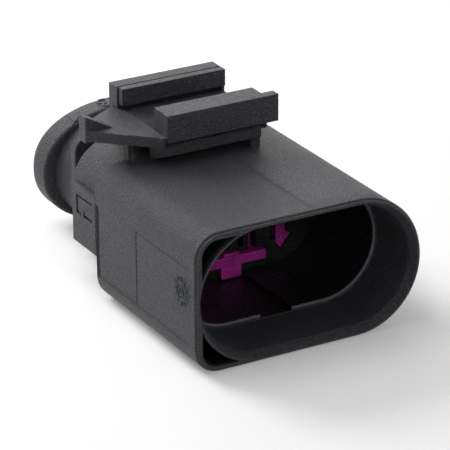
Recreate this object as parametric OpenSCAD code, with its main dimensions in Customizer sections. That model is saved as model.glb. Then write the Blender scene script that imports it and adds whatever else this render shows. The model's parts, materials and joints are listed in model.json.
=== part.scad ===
// Sealed eight-way connector housing for blade contacts, with its secondary lock.
// Y is the connector's axis: the mouth is at y = 0 and faces -Y, the wires leave at +Y.
// X runs across the mouth, Z is up, and the origin is the centre of the mouth.

/* [Shroud] */
// Outside width of the shroud
shroud_w = 33; // [31:0.5:36]
// Outside height of the shroud
shroud_h = 18.9; // [18:0.1:21]
// Length of the shroud, from the mouth to the step behind it
shroud_len = 27; // [26:0.5:32]
// Outside radius of the two corners on the flat side
corner_r = 4.5; // [3.5:0.1:5.5]
// Wall of the shroud at the mouth
shroud_wall = 1.25; // [1.1:0.05:1.5]
// Flat rim between the outside and the lead-in
rim_w = 0.6; // [0.4:0.05:0.8]
// Length of the lead-in bevel inside the mouth
lead_in = 1.25; // [0.8:0.05:2]
// Depth at which the plug space narrows
step_depth = 8.7; // [6:0.1:12]
// How much the plug space narrows on each side
step_w = 0.6; // [0.4:0.05:0.9]
// Depth of the plug space, from the mouth to the terminal block
plug_depth = 22.3; // [21:0.1:24]
// Width of the keyway in the floor of the plug space
keyway_w = 4.7; // [4:0.1:6]
// Depth of the keyway below the floor
keyway_h = 0.6; // [0.4:0.05:0.7]
// Wall outside the two corner pockets
pocket_skin = 1.15; // [0.9:0.05:1.3]
// Wall between the plug space and the corner pockets
pocket_wall = 1; // [0.8:0.05:1.2]
// Depth of the corner pockets
pocket_depth = 20; // [15:0.5:22]

/* [Rear body] */
// Length of the body behind the shroud
rear_len = 9; // [7:0.5:12]
// How far the flat side steps in behind the shroud
rear_step = 1.1; // [0.6:0.1:1.6]
// Corner radius of the body behind the shroud
rear_corner_r = 6.3; // [5:0.1:7]
// Depth of the flat cut on the round side
facet_cut = 1.4; // [0.8:0.1:2]
// Distance from the mouth to the front of that flat
facet_y = 24.2; // [23:0.1:26]
// Height of the raised pad on the flat side
pad_t = 0.3; // [0.2:0.05:0.5]

/* [Neck and flange] */
// Distance between the body and the flange
neck_len = 3.3; // [2.5:0.1:5]
// Thickness of the flange
flange_t = 1.4; // [1:0.1:2]
// Width of the flange
flange_w = 26.2; // [25:0.1:28]
// Top edge of the flange
flange_top = 8.25; // [7.8:0.05:9]
// Bottom edge of the flange
flange_bottom = -8.8; // [-9.2:0.05:-8.6]
// Radius of the upper corners of the flange
flange_r = 2; // [1:0.1:3]
// Bevel of the lower corners of the flange
flange_bevel = 2.8; // [2:0.1:3.5]

/* [Wire end] */
// Height of the wire end's axis
wire_z = -0.8; // [-1:0.05:-0.6]
// Half width of the tube
tube_a = 11.2; // [11:0.1:12]
// Half height of the tube
tube_b = 8.3; // [8:0.05:8.4]
// Length of the tube behind the flange
tube_len = 8.7; // [7:0.1:12]
// Half width of the collar
collar_a = 12.9; // [12.6:0.1:13.5]
// Half height of the collar
collar_b = 8.45; // [8.4:0.01:8.5]
// Length of the collar
collar_len = 4.1; // [3.6:0.1:6]
// Length of the collar's bevelled rear edge
collar_bevel = 0.9; // [0.5:0.05:1.2]
// Half width of the opening in the collar
mouth_a = 11.2; // [10.8:0.1:11.6]
// Half height of the opening in the collar
mouth_b = 6.5; // [6.2:0.05:6.8]
// Depth of the opening around the wire rings
mouth_depth = 4.6; // [3:0.1:6]
// How far the wire rings end below the collar's rim
ring_recess = 0.7; // [0.4:0.1:1.2]
// Outside radius of one wire ring
ring_r = 2.58; // [2.55:0.01:2.7]

/* [Cavities] */
// Cavities in each row
columns = 4; // [2:1:4]
// Distance between columns
pitch_x = 5; // [4.9:0.05:5.1]
// Distance between the two rows
pitch_z = 5.12; // [5:0.02:5.3]
// Diameter of a wire cavity
cavity_d = 4.05; // [3.6:0.05:4.2]
// Length of a wire cavity
cavity_len = 16; // [12:0.5:18]
// Side of the square chamber that holds a contact
chamber = 2.8; // [2.4:0.1:3]
// Length of the narrow slot at the front of each chamber
slot_len = 5.2; // [5:0.1:6]
// Thickness of a blade slot
slot_t = 0.8; // [0.7:0.05:1]
// Height of a blade slot
slot_h = 1.9; // [1.6:0.05:2.2]

/* [Bracket] */
// Width of the bracket across the body
bracket_w = 15.8; // [14:0.1:18]
// Sideways offset of the bracket's centre
bracket_x = -1.5; // [-2.5:0.1:0]
// Length of the bracket along the body, up to the body's rear end
bracket_len = 14.3; // [13.5:0.1:17]
// Clear height under the plate
plate_rise = 2.55; // [2:0.05:4]
// Thickness of the plate
plate_t = 1.5; // [1.2:0.05:2]
// Height of the rails above the plate
rail_h = 3; // [2.6:0.1:4]
// Thickness of the front rail
front_wall = 1.3; // [1:0.05:1.8]
// Overhang of the front rail's lip
front_lip = 1.9; // [1:0.1:2.2]
// Thickness of the front rail's lip
front_lip_t = 0.8; // [0.6:0.05:1.2]
// Length of the front rail that the lip leaves free
lip_cut = 1.8; // [1:0.1:3]
// Thickness of the rear rail
rear_wall = 2; // [1.6:0.1:2.6]
// Overhang of the rear rail's lip
rear_lip = 1; // [0.6:0.1:1.4]
// Thickness of the rear rail's lip
rear_lip_t = 2; // [1:0.1:2.2]
// Length along the body of the foot below the front rail
foot_len = 3.4; // [2.6:0.1:4]
// How far the foot is set back from the rail's face
foot_set = 0.4; // [0.2:0.05:0.8]
// Height of the foot's front edge above the body
foot_rise = 1.3; // [0.8:0.1:1.6]
// Length along the body of the foot below the rear rail
heel_len = 2.8; // [2.2:0.1:3.4]
// Width of the slot in the back of the rear rail
slot_w = 7.1; // [5:0.1:9]
// Reach of the wing beside the plate
wing_reach = 7.7; // [6:0.1:9]
// Width of the wing's tip
wing_tip = 2.1; // [1.6:0.1:3]
// Distance from the bracket's front to the wing's tip
wing_y = 5.7; // [4.5:0.1:7]
// Height of the catch above the plate
catch_h = 2.3; // [1.6:0.1:2.8]
// Length of the catch's ramp
catch_len = 4; // [3:0.1:5]

/* [Secondary lock] */
// How far the lock is pushed in to lock the contacts
lock_travel = 1.6; // [1:0.1:2]
// How far the key stands in front of the terminal block
lock_proud = 1; // [0.8:0.1:1.4]
// Clearance around the lock
lock_gap = 0.15; // [0.1:0.01:0.25]
// Width of the lock's key
key_w = 3.1; // [2.6:0.1:3.2]
// Sideways offset of the lock's key
key_x = 0.6; // [0:0.1:0.6]
// Half width of the lock's lower bar
bar_half = 6.1; // [5.6:0.1:6.4]
// Height of the lock's bars
bar_h = 1.4; // [1.2:0.1:1.6]
// Depth of the lock's bars
bar_d = 2.8; // [2.2:0.1:3]
// Distance from the middle of the contacts to each bar
bar_rise = 4.3; // [4.2:0.05:4.5]
// Thickness of the lock's fingers
finger_t = 0.7; // [0.5:0.05:0.9]
// Length of the lock's fingers behind the bars
finger_len = 3.6; // [3:0.1:4.5]
// Width of the lock's struts and side posts
post_w = 1.5; // [1.3:0.05:1.6]
// Reach of the barb on each side post
barb = 0.8; // [0.5:0.1:1]

/* [Hidden] */
$fn = 64;
over = 0.5;

// Stations along the connector's axis
body_y = shroud_len + rear_len;
flange_y = body_y + neck_len;
tube_y = flange_y + flange_t;
collar_y = tube_y + tube_len;
end_y = collar_y + collar_len;
ring_y = end_y - ring_recess;

// Plug space
plug_w = shroud_w - 2 * shroud_wall;
plug_h = shroud_h - 2 * shroud_wall;
nose_w = plug_w - 2 * step_w;
nose_h = plug_h - 2 * step_w;
keyway_floor = -nose_h / 2 - keyway_h;

// Wire cavities and chambers
cavity_y = ring_y - cavity_len;
chamber_y = plug_depth + slot_len;
rows = [wire_z - pitch_z / 2, wire_z + pitch_z / 2];
cols = [for (i = [0:columns - 1]) (i - (columns - 1) / 2) * pitch_x];

// Bracket
top_z = shroud_h / 2;
sunk = 1;
left_x = bracket_x - bracket_w / 2;
right_x = bracket_x + bracket_w / 2;
front_y = body_y - bracket_len;
plate_z = top_z + plate_rise;
floor_z = plate_z + plate_t;
rail_z = floor_z + rail_h;
rail_drop = 0.75;
tip_x = left_x - wing_reach;
tip_y = front_y + wing_y;
tip_drop = 1.1;
wing_t = 1.2;

// Secondary lock
key_y = plug_depth - lock_proud;
bar_y = key_y + 0.3;
strut_y = key_y + 1.5;
post_y = key_y + 1.1;
lock_back = bar_y + bar_d;
low_bar = wire_z - bar_rise;
high_bar = wire_z + bar_rise;
post_x = cols[columns - 1] + slot_t / 2 + 0.1;

// An outline in the XZ plane, carried from one station to another along Y
module along(from, to) {
    translate([0, to, 0])
        rotate([90, 0, 0])
            linear_extrude(height = to - from)
                children();
}

// A profile in the YZ plane, carried from one X to another
module across(from, to) {
    translate([from, 0, 0])
        rotate([90, 0, 90])
            linear_extrude(height = to - from)
                children();
}

// A box between two opposite corners
module block(from, to) {
    translate(from)
        cube(to - from);
}

// An oval whose ends are half circles
module stadium(w, h) {
    for (side = [-1, 1])
        translate([side * (w - h) / 2, 0])
            circle(d = h);
    square([w - h, h], center = true);
}

// A stadium whose left end is squared off, with rounded corners
module squared_stadium(w, h, r) {
    translate([(w - h) / 2, 0])
        circle(d = h);
    translate([-w / 2 + r, -h / 2])
        square([w - r - h / 2, h]);
    translate([-w / 2, -h / 2 + r])
        square([r * 2, h - r * 2]);
    for (side = [-1, 1])
        translate([-w / 2 + r, side * (h / 2 - r)])
            circle(r = r);
}

// A superellipse: power 2 is an ellipse, more is squarer
module oval(a, b, power) {
    function bend(v) = sign(v) * pow(abs(v), 2 / power);
    polygon([for (t = [0:5:355]) [a * bend(cos(t)), b * bend(sin(t))]]);
}

// Every place where a contact sits
module at_contacts() {
    for (x = cols, z = rows)
        translate([x, 0, z])
            children();
}

module shroud() {
    along(0, shroud_len)
        squared_stadium(shroud_w, shroud_h, corner_r);
}

module rear_body() {
    rear_w = shroud_w - rear_step;
    translate([rear_step / 2, 0, 0])
        along(shroud_len - over, body_y)
            squared_stadium(rear_w, shroud_h, rear_corner_r);
    pad_x = -shroud_w / 2 + rear_step;
    block([pad_x - pad_t, shroud_len + 1.5, -4.4], [pad_x + over, body_y - 1, 4.2]);
}

module neck_and_tube() {
    translate([0, 0, wire_z])
        along(body_y - over, collar_y + over)
            oval(tube_a, tube_b, 2.1);
}

module flange() {
    half = flange_w / 2;
    along(flange_y, tube_y) {
        polygon([
            [-half, flange_top - flange_r],
            [-half, flange_bottom + flange_bevel],
            [-half + flange_bevel, flange_bottom],
            [half - flange_bevel, flange_bottom],
            [half, flange_bottom + flange_bevel],
            [half, flange_top - flange_r]
        ]);
        translate([-half + flange_r, flange_top - 2 * flange_r])
            square([flange_w - 2 * flange_r, 2 * flange_r]);
        for (side = [-1, 1])
            translate([side * (half - flange_r), flange_top - flange_r])
                circle(r = flange_r);
    }
}

module collar() {
    bevel_y = end_y - collar_bevel;
    bevel_scale = [1 - 0.6 / collar_a, 1 - 0.7 / collar_b];
    translate([0, 0, wire_z]) {
        along(collar_y, bevel_y)
            oval(collar_a, collar_b, 2.2);
        translate([0, bevel_y, 0])
            rotate([-90, 0, 0])
                linear_extrude(height = collar_bevel, scale = bevel_scale, slices = 1)
                    oval(collar_a, collar_b, 2.2);
    }
}

// The space between the collar's rim and the wire rings
module collar_mouth() {
    difference() {
        translate([0, 0, wire_z])
            along(end_y - mouth_depth, end_y + over)
                oval(mouth_a, mouth_b, 2.4);
        along(end_y - mouth_depth - over, ring_y) {
            for (x = cols, z = rows)
                translate([x, z])
                    circle(r = ring_r);
            translate([cols[0], rows[0]])
                square([cols[columns - 1] - cols[0], pitch_z]);
        }
    }
}

module plug_space() {
    along(-over, step_depth)
        stadium(plug_w, plug_h);
    along(step_depth - over, plug_depth)
        stadium(nose_w, nose_h);
    block([-keyway_w / 2, step_depth, keyway_floor], [keyway_w / 2, plug_depth, -nose_h / 2 + over]);
    lead = shroud_wall - rim_w;
    wide = plug_w + 2 * lead;
    high = plug_h + 2 * lead;
    rotate([-90, 0, 0])
        linear_extrude(height = lead_in, scale = [plug_w / wide, plug_h / high], slices = 1)
            stadium(wide, high);
}

module corner_pockets() {
    along(-over, pocket_depth)
        difference() {
            squared_stadium(shroud_w - 2 * pocket_skin, shroud_h - 2 * pocket_skin, corner_r - pocket_skin);
            stadium(plug_w + 2 * pocket_wall, plug_h + 2 * pocket_wall);
        }
}

module contact_cavities() {
    at_contacts() {
        translate([0, ring_y + over, 0])
            rotate([90, 0, 0])
                cylinder(d = cavity_d, h = cavity_len + over);
        translate([0, (chamber_y + cavity_y) / 2, 0])
            cube([chamber, cavity_y - chamber_y + 0.02, chamber], center = true);
        translate([0, (plug_depth + chamber_y) / 2, 0])
            cube([slot_t, slot_len + over, slot_h], center = true);
    }
}

module plate_and_wing() {
    translate([0, 0, plate_z])
        linear_extrude(height = plate_t)
            translate([left_x, front_y])
                square([bracket_w, bracket_len]);
    translate([0, 0, floor_z - wing_t])
        linear_extrude(height = wing_t)
            polygon([
                [left_x + over, front_y + 0.3],
                [left_x, front_y + 0.3],
                [tip_x, tip_y],
                [tip_x, tip_y + wing_tip],
                [left_x, body_y],
                [left_x + over, body_y]
            ]);
}

module wing_catch() {
    difference() {
        translate([0, tip_y + wing_tip, 0])
            rotate([90, 0, 0])
                linear_extrude(height = wing_tip)
                    polygon([
                        [tip_x, floor_z - tip_drop],
                        [tip_x + catch_len, floor_z - tip_drop],
                        [tip_x + catch_len, floor_z],
                        [tip_x, floor_z + catch_h]
                    ]);
        translate([0, tip_y + wing_tip + over, 0])
            rotate([90, 0, 0])
                linear_extrude(height = wing_tip / 2 + over)
                    polygon([
                        [tip_x + 0.6, floor_z + 0.1],
                        [tip_x + catch_len * 0.7, floor_z + 0.1],
                        [tip_x + 0.6, floor_z + catch_h * 0.72]
                    ]);
    }
}

module front_rail() {
    wall_y = front_y + front_wall;
    block([left_x + 0.2, front_y, floor_z - rail_drop], [right_x + 1.3, wall_y, rail_z]);
    block([left_x + 0.2, front_y, rail_z - front_lip_t],
        [right_x + 1.3 - lip_cut, wall_y + front_lip, rail_z]);
    foot_y = front_y + foot_set;
    across(left_x + 0.3, right_x - 0.9)
        polygon([
            [foot_y, plate_z + 0.2],
            [foot_y, top_z + foot_rise],
            [foot_y + foot_len, top_z - sunk],
            [foot_y + foot_len + 0.7, top_z - sunk],
            [foot_y + foot_len + 0.7, plate_z + 0.2]
        ]);
}

module rear_rail() {
    wall_y = body_y - rear_wall;
    block([left_x, wall_y, plate_z], [right_x - 0.1, body_y, rail_z]);
    block([left_x + 0.6, wall_y - rear_lip, rail_z - rear_lip_t], [right_x + 0.2, body_y - over, rail_z]);
    block([left_x + 0.2, body_y - heel_len, top_z - sunk], [right_x - 0.1, body_y, plate_z + over]);
}

module rear_slot() {
    block([right_x - 0.6 - slot_w, body_y - 1.2, floor_z + 0.4],
        [right_x - 0.6, body_y + over, rail_z - 1.1]);
}

// One box of the lock. The pocket for it is the same box, grown by the clearance
// and lengthened by the travel.
module lock_block(from, to, pocket) {
    grow = pocket ? lock_gap : 0;
    front = pocket ? min(from[1], plug_depth) - over : from[1];
    back = pocket ? to[1] + lock_travel + lock_gap : to[1];
    block([from[0] - grow, front, from[2] - grow], [to[0] + grow, back, to[2] + grow]);
}

module lock_post(pocket) {
    grow = pocket ? lock_gap : 0;
    front = pocket ? min(post_y, plug_depth) - over : post_y;
    back = pocket ? lock_back + lock_travel + lock_gap : lock_back;
    inner = post_x - grow;
    outer = post_x + post_w + grow;
    tooth_z = low_bar + 1.1;
    along(front, back)
        polygon([
            [inner, high_bar + grow],
            [inner, low_bar - grow],
            [(inner + outer) / 2, low_bar - 0.8 - grow],
            [outer, low_bar + 0.2 - grow],
            [outer + barb, tooth_z - grow],
            [outer, tooth_z + 0.5 + grow],
            [outer, high_bar + grow]
        ]);
}

module lock_body(pocket) {
    key = [key_x - key_w / 2, key_x + key_w / 2];
    key_z = keyway_floor + lock_gap;
    lock_block([key[0], key_y, key_z], [key[1], lock_back, low_bar - bar_h + 0.1], pocket);
    lock_block([-bar_half, bar_y, low_bar - bar_h], [bar_half, lock_back, low_bar], pocket);
    lock_block([key[0] + 0.6, bar_y, low_bar - 0.1], [key[1] - 0.1, lock_back, low_bar + 0.5], pocket);
    reach = post_x + post_w;
    lock_block([-reach, bar_y, high_bar], [reach, lock_back, high_bar + bar_h], pocket);
    for (side = [-1, 1]) {
        strut_x = side * (pitch_x - 0.65) - 0.45;
        lock_block([strut_x, strut_y, low_bar - 0.1], [strut_x + 0.9, lock_back, high_bar + 0.1], pocket);
        mirror([side < 0 ? 1 : 0, 0, 0])
            lock_post(pocket);
    }
    for (x = cols) {
        finger_y = lock_back - over;
        finger_end = lock_back + finger_len;
        if (abs(x) < bar_half)
            lock_block([x - 0.8, finger_y, low_bar - finger_t], [x + 0.8, finger_end, low_bar], pocket);
        lock_block([x - 0.8, finger_y, high_bar], [x + 0.8, finger_end, high_bar + finger_t], pocket);
    }
}

module housing() {
    color([0.13, 0.13, 0.14])
        difference() {
            union() {
                shroud();
                rear_body();
                neck_and_tube();
                flange();
                collar();
                plate_and_wing();
                wing_catch();
                front_rail();
                rear_rail();
            }
            plug_space();
            corner_pockets();
            collar_mouth();
            contact_cavities();
            rear_slot();
            lock_body(true);
            block([shroud_w / 2 - facet_cut, facet_y, -shroud_h], [shroud_w, body_y + over, shroud_h]);
        }
}

module secondary_lock() {
    color([0.55, 0.1, 0.5])
        lock_body(false);
}

housing();
secondary_lock();
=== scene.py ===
"""Visual model of a sealed eight-way connector housing and its secondary lock.

Lengths inside the shape functions are in millimetres in the frame of the solids:
X across the mouth, Y along the connector from the mouth to the wire end, Z up.
"""

import json
import math
from types import SimpleNamespace

import bmesh
import bpy
import numpy as np
from bpy.props import FloatProperty, FloatVectorProperty, PointerProperty
from bpy.types import Operator, Panel, PropertyGroup
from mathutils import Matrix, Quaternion, Vector

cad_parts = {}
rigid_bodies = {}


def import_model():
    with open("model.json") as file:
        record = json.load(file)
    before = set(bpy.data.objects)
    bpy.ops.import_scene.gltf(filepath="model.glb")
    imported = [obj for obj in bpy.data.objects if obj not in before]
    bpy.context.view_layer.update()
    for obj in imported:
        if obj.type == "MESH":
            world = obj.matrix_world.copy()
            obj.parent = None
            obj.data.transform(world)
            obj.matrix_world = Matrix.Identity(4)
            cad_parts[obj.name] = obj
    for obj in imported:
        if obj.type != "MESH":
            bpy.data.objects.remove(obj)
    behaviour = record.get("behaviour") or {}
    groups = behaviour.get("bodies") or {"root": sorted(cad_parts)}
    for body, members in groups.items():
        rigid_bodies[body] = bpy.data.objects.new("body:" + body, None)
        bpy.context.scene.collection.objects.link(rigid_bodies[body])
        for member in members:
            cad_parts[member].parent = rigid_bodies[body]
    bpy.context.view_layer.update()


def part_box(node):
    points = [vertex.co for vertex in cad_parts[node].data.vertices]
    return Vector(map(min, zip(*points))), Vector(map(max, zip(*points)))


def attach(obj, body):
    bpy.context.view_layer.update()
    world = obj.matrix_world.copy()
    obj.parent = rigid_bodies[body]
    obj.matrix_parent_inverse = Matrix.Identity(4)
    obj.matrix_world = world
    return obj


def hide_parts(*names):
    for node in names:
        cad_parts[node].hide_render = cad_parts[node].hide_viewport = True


bl_info = {
    "name": "Sealed connector housing",
    "version": (1, 0, 0),
    "blender": (4, 5, 0),
    "location": "3D View > Sidebar > Connector",
    "description": "Builds the looks of a sealed connector housing around its solid frame",
    "category": "Object",
}

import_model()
HOUSING = [[v * 1000 for v in corner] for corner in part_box("housing")]
LOCK = [[v * 1000 for v in corner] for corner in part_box("secondary_lock")]


# ---------------------------------------------------------------- sizes

def length(name, description, millimetres):
    """A length property in metres, from its default in millimetres."""
    return FloatProperty(name=name, description=description, default=millimetres / 1000,
                         unit="LENGTH", subtype="DISTANCE", precision=5)


def colour(name, description, value):
    """A linear colour property."""
    return FloatVectorProperty(name=name, description=description, default=value,
                               size=3, min=0, max=1, subtype="COLOR")


class ShroudSizes(PropertyGroup):
    """Sizes of the plug shroud and the body behind it"""

    width: length("Width", "Outside width of the shroud", 2 * HOUSING[1][0])
    height: length("Height", "Outside height of the shroud", -2 * HOUSING[0][2])
    length: length("Length", "From the mouth to the step behind the shroud", 27)
    body_end: length("Body end", "From the mouth to the rear face of the body", 36)
    corner: length("Corner radius", "Outside corner radius on the flat side", 3.5)
    wall: length("Wall", "Wall of the shroud at the mouth", 1.25)
    rim: length("Rim", "Flat rim between the outside and the lead-in", 0.6)
    lead_in: length("Lead-in", "Length of the bevel inside the mouth", 1.25)
    step_depth: length("Step depth", "Depth at which the plug space narrows", 8.7)
    step: length("Step", "How much the plug space narrows on each side", 0.6)
    plug_depth: length("Plug depth", "From the mouth to the terminal block", 22.3)
    key_width: length("Keyway width", "Width of the keyway in the floor", 4.7)
    pocket_depth: length("Pocket depth", "Depth of the two corner pockets", 20)
    rear_step: length("Rear step", "How far the flat side steps in behind the shroud", 1.1)
    rear_corner: length("Rear corner", "Corner radius of the body behind the shroud", 6.3)
    rear_bevel: length("Rear bevel", "How far below the axis the bevel under the flat side starts", 3.9)
    facet_x: length("Facet", "Where the flat on the round side lies", 15.1)
    facet_y: length("Facet start", "From the mouth to the front of that flat", 24.2)
    groove: length("Groove depth", "Depth of the lines round the side panel", 0.16)


class WireEndSizes(PropertyGroup):
    """Sizes of the neck, flange, tube, collar and cavities"""

    axis_height: length("Axis height", "Height of the wire end's axis", -0.8)
    flange_y: length("Flange", "From the mouth to the flange", 39.3)
    flange_t: length("Flange thickness", "Thickness of the flange", 1.4)
    flange_width: length("Flange width", "Width of the flange", 26.2)
    tube_width: length("Tube width", "Width of the oval tube", 22.4)
    tube_height: length("Tube height", "Height of the oval tube", 16.6)
    collar_y: length("Collar", "From the mouth to the collar", 49.4)
    collar_width: length("Collar width", "Width of the collar", 25.8)
    collar_height: length("Collar height", "Height of the collar", 16.9)
    mouth_width: length("Opening width", "Width of the opening in the collar", 22.4)
    mouth_height: length("Opening height", "Height of the opening in the collar", 13)
    mouth_depth: length("Opening depth", "Depth of the opening round the rings", 4.6)
    ring_recess: length("Ring recess", "How far the rings end below the rim", 0.7)
    ring_radius: length("Ring radius", "Outside radius of a wire ring", 2.58)
    cavity_radius: length("Cavity radius", "Radius of a wire cavity", 2.025)
    cavity_depth: length("Cavity depth", "Length of a wire cavity", 16)
    pitch_x: length("Column pitch", "Distance between columns of cavities", 5)
    pitch_z: length("Row pitch", "Distance between the two rows", 5.12)


class BracketSizes(PropertyGroup):
    """Sizes of the mounting bracket"""

    left: length("Left end", "Left end of the plate", -9.3)
    right: length("Right end", "Right end of the plate", 6.4)
    front: length("Front", "From the mouth to the front rail", 21.7)
    under: length("Underside", "Height of the plate's underside", 12)
    floor: length("Plate", "Height of the plate's upper face", 13.5)
    top: length("Top", "Height of the rails", HOUSING[1][2])
    tip: length("Wing tip", "Where the wing ends", HOUSING[0][0])
    tip_y: length("Wing tip front", "From the mouth to the wing's tip", 28)
    tip_width: length("Wing tip width", "Width of the wing's tip", 1.8)
    wing_rise: length("Wing rise", "How much higher the wing's tip is than the plate", 0.6)
    catch_length: length("Catch length", "Length of the catch's ramp", 4)
    catch_height: length("Catch height", "Height of the catch above the wing", 1.8)
    edge: length("Edge", "Rounding of the bracket's edges", 0.16)


class LockSizes(PropertyGroup):
    """Sizes of the secondary lock"""

    gap: length("Clearance", "Clearance round the lock", 0.15)
    travel: length("Travel", "How far the lock is pushed in", 1.6)
    edge: length("Edge", "Rounding of the lock's edges", 0.16)


class Finishes(PropertyGroup):
    """Colours of the plastics and the ground"""

    housing: colour("Housing", "Black plastic of the housing", (0.035, 0.0365, 0.042))
    fleck: colour("Fleck", "Glass fibres at the surface", (0.13, 0.134, 0.145))
    lock: colour("Lock", "Purple plastic of the lock", (0.46, 0.022, 0.32))
    ground: colour("Ground", "Floor and backdrop", (0.86, 0.86, 0.86))


def millimetres(group):
    """The lengths of a property group, as plain numbers in millimetres."""
    return SimpleNamespace(**{k: getattr(group, k) * 1000 for k in group.__annotations__})


# ---------------------------------------------------------------- outlines

HALF_SPAN = 7.05
"""Half length of the flat part of the ovals: every outline is measured outwards from it."""


def spine(sizes, columns=28, rays=72):
    """Anchor points and directions of the rays on which every outline is measured.

    They run along a line of half length HALF_SPAN: straight down below it, round its
    right end, straight up above it and round its left end.
    """
    key = sizes.key_width / 2
    seam = np.array([-0.75, -0.6, -0.45, 0.5, 0.7])
    grid = np.linspace(-HALF_SPAN, HALF_SPAN, columns + 1)
    grid = grid[(np.abs(np.abs(grid) - key) > 0.2) & (np.abs(grid) > 0.1)]
    x = np.sort(np.concatenate([grid, seam, [-key, -key, key, key]]))
    inner = np.zeros(len(x), bool)
    low_key, high_key = np.where(np.isclose(x, -key))[0], np.where(np.isclose(x, key))[0]
    inner[low_key[1]:high_key[0] + 1] = True

    right = np.linspace(-np.pi / 2, np.pi / 2, rays + 1)[1:-1]
    flat = sizes.width / 2 - HALF_SPAN
    lines = np.array([4.6, 4.45, 4.3, 3.9, -5.0, -5.55, -5.7, -5.85])
    marks = np.pi - np.arctan2(lines, flat)
    left = np.linspace(np.pi / 2, 3 * np.pi / 2, rays + 1)[1:-1]
    left = left[np.min(np.abs(left[:, None] - marks), axis=1) > 0.012]
    left = np.sort(np.concatenate([left, marks]))

    zeros = np.zeros(len(x))
    return SimpleNamespace(
        anchor=np.concatenate([x, np.full(len(right), HALF_SPAN), x[::-1], np.full(len(left), -HALF_SPAN)]),
        dx=np.concatenate([zeros, np.cos(right), zeros, np.cos(left)]),
        dz=np.concatenate([zeros - 1, np.sin(right), zeros + 1, np.sin(left)]),
        key=np.concatenate([inner, np.zeros(len(right) + len(x) + len(left), bool)]),
    )


def rectangle(left, right, low, high, radius=0.0):
    """Distance to a rectangle with round corners: below zero inside, above zero outside."""
    centre_x, centre_z = (left + right) / 2, (low + high) / 2

    def distance(x, z):
        qx = np.abs(x - centre_x) - (right - left) / 2 + radius
        qz = np.abs(z - centre_z) - (high - low) / 2 + radius
        outside = np.hypot(np.maximum(qx, 0), np.maximum(qz, 0))
        return outside + np.minimum(np.maximum(qx, qz), 0) - radius

    return distance


def squared(left, right, half_height, left_radius):
    """Distance to an oval whose right end is a half circle and whose left end is squared."""
    whole = rectangle(left, right, -half_height, half_height, half_height)
    flat = rectangle(left, right, -half_height, half_height, left_radius)
    return lambda x, z: np.where(x < 0, flat(x, z), whole(x, z))


def superellipse(half_width, half_height, power):
    """Below zero where |x / a| ** p + |z / b| ** p is under one."""
    return lambda x, z: np.abs(x / half_width) ** power + np.abs(z / half_height) ** power - 1


def nearest(*shapes):
    """The union of several distance functions."""
    return lambda x, z: np.minimum.reduce([shape(x, z) for shape in shapes])


def farthest(*shapes):
    """The intersection of several distance functions."""
    return lambda x, z: np.maximum.reduce([shape(x, z) for shape in shapes])


def reach(rays, shape, height=0.0):
    """How far along each ray the outline lies, found by halving the interval."""
    low, high = np.zeros(len(rays.anchor)), np.full(len(rays.anchor), 24.0)
    for _ in range(44):
        middle = (low + high) / 2
        inside = shape(rays.anchor + rays.dx * middle, height + rays.dz * middle) < 0
        low, high = np.where(inside, middle, low), np.where(inside, high, middle)
    return (low + high) / 2


# ---------------------------------------------------------------- meshes

def make_object(name, points, faces):
    """A mesh object in metres from points in millimetres, merged, closed and turned outwards."""
    mesh = bpy.data.meshes.new(name)
    mesh.from_pydata((np.asarray(points, float) / 1000).tolist(), [], faces)
    work = bmesh.new()
    work.from_mesh(mesh)
    bmesh.ops.remove_doubles(work, verts=work.verts, dist=1e-7)
    bmesh.ops.dissolve_degenerate(work, edges=work.edges, dist=1e-7)
    bmesh.ops.recalc_face_normals(work, faces=work.faces)
    work.to_mesh(mesh)
    work.free()
    piece = bpy.data.objects.new(name, mesh)
    bpy.context.scene.collection.objects.link(piece)
    return piece


def reshape(piece, change):
    """Moves all the piece's points at once by a function of their places in millimetres."""
    points = np.empty(len(piece.data.vertices) * 3)
    piece.data.vertices.foreach_get("co", points)
    points = change(points.reshape(-1, 3) * 1000) / 1000
    piece.data.vertices.foreach_set("co", points.ravel())
    piece.data.update()
    return piece


def grid_faces(rows, columns):
    """Quads of a grid of points stored row by row, closed round each row."""
    row, column = np.meshgrid(np.arange(rows - 1), np.arange(columns), indexing="ij")
    after = (column + 1) % columns
    quads = np.stack([row * columns + column, row * columns + after,
                      (row + 1) * columns + after, (row + 1) * columns + column], axis=-1)
    return quads.reshape(-1, 4).tolist()


def loft(name, rays, stations):
    """A closed skin through outlines: point = anchor + direction * distance, at each station's Y."""
    skin = np.array([np.stack([rays.anchor + rays.dx * far,
                               np.full(len(far), y) if np.isscalar(y) else y,
                               centre + rays.dz * far], axis=-1)
                     for y, centre, far in stations])
    return make_object(name, skin.reshape(-1, 3), grid_faces(len(stations), len(rays.anchor)))


def prism(name, outline, low, high, axis):
    """A flat outline carried along one axis, with its two ends closed.

    The outline's two coordinates are the other two axes in the order X, Y, Z.
    """
    flat = np.asarray(outline, float)
    count = len(flat)
    points = np.empty((2 * count, 3))
    others = [i for i in range(3) if i != axis]
    points[:, others] = np.tile(flat, (2, 1))
    points[:count, axis] = low
    points[count:, axis] = high
    faces = grid_faces(2, count) + [list(range(count)), list(range(count, 2 * count))]
    return make_object(name, points, faces)


def box_piece(name, low, high):
    """A box between two corners, as a prism along Z."""
    outline = [(low[0], low[1]), (high[0], low[1]), (high[0], high[1]), (low[0], high[1])]
    return prism(name, outline, low[2], high[2], 2)


def turned(name, profile, centre, steps=64):
    """A profile of (radius, y) turned about an axis along Y through the centre (x, z)."""
    radius, y = np.asarray(profile, float).T
    angle = np.linspace(0, 2 * np.pi, steps, endpoint=False)
    points = np.stack([centre[0] + radius[:, None] * np.cos(angle),
                       np.repeat(y[:, None], steps, axis=1),
                       centre[1] + radius[:, None] * np.sin(angle)], axis=-1)
    return make_object(name, points.reshape(-1, 3), grid_faces(len(profile), steps))


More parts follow.
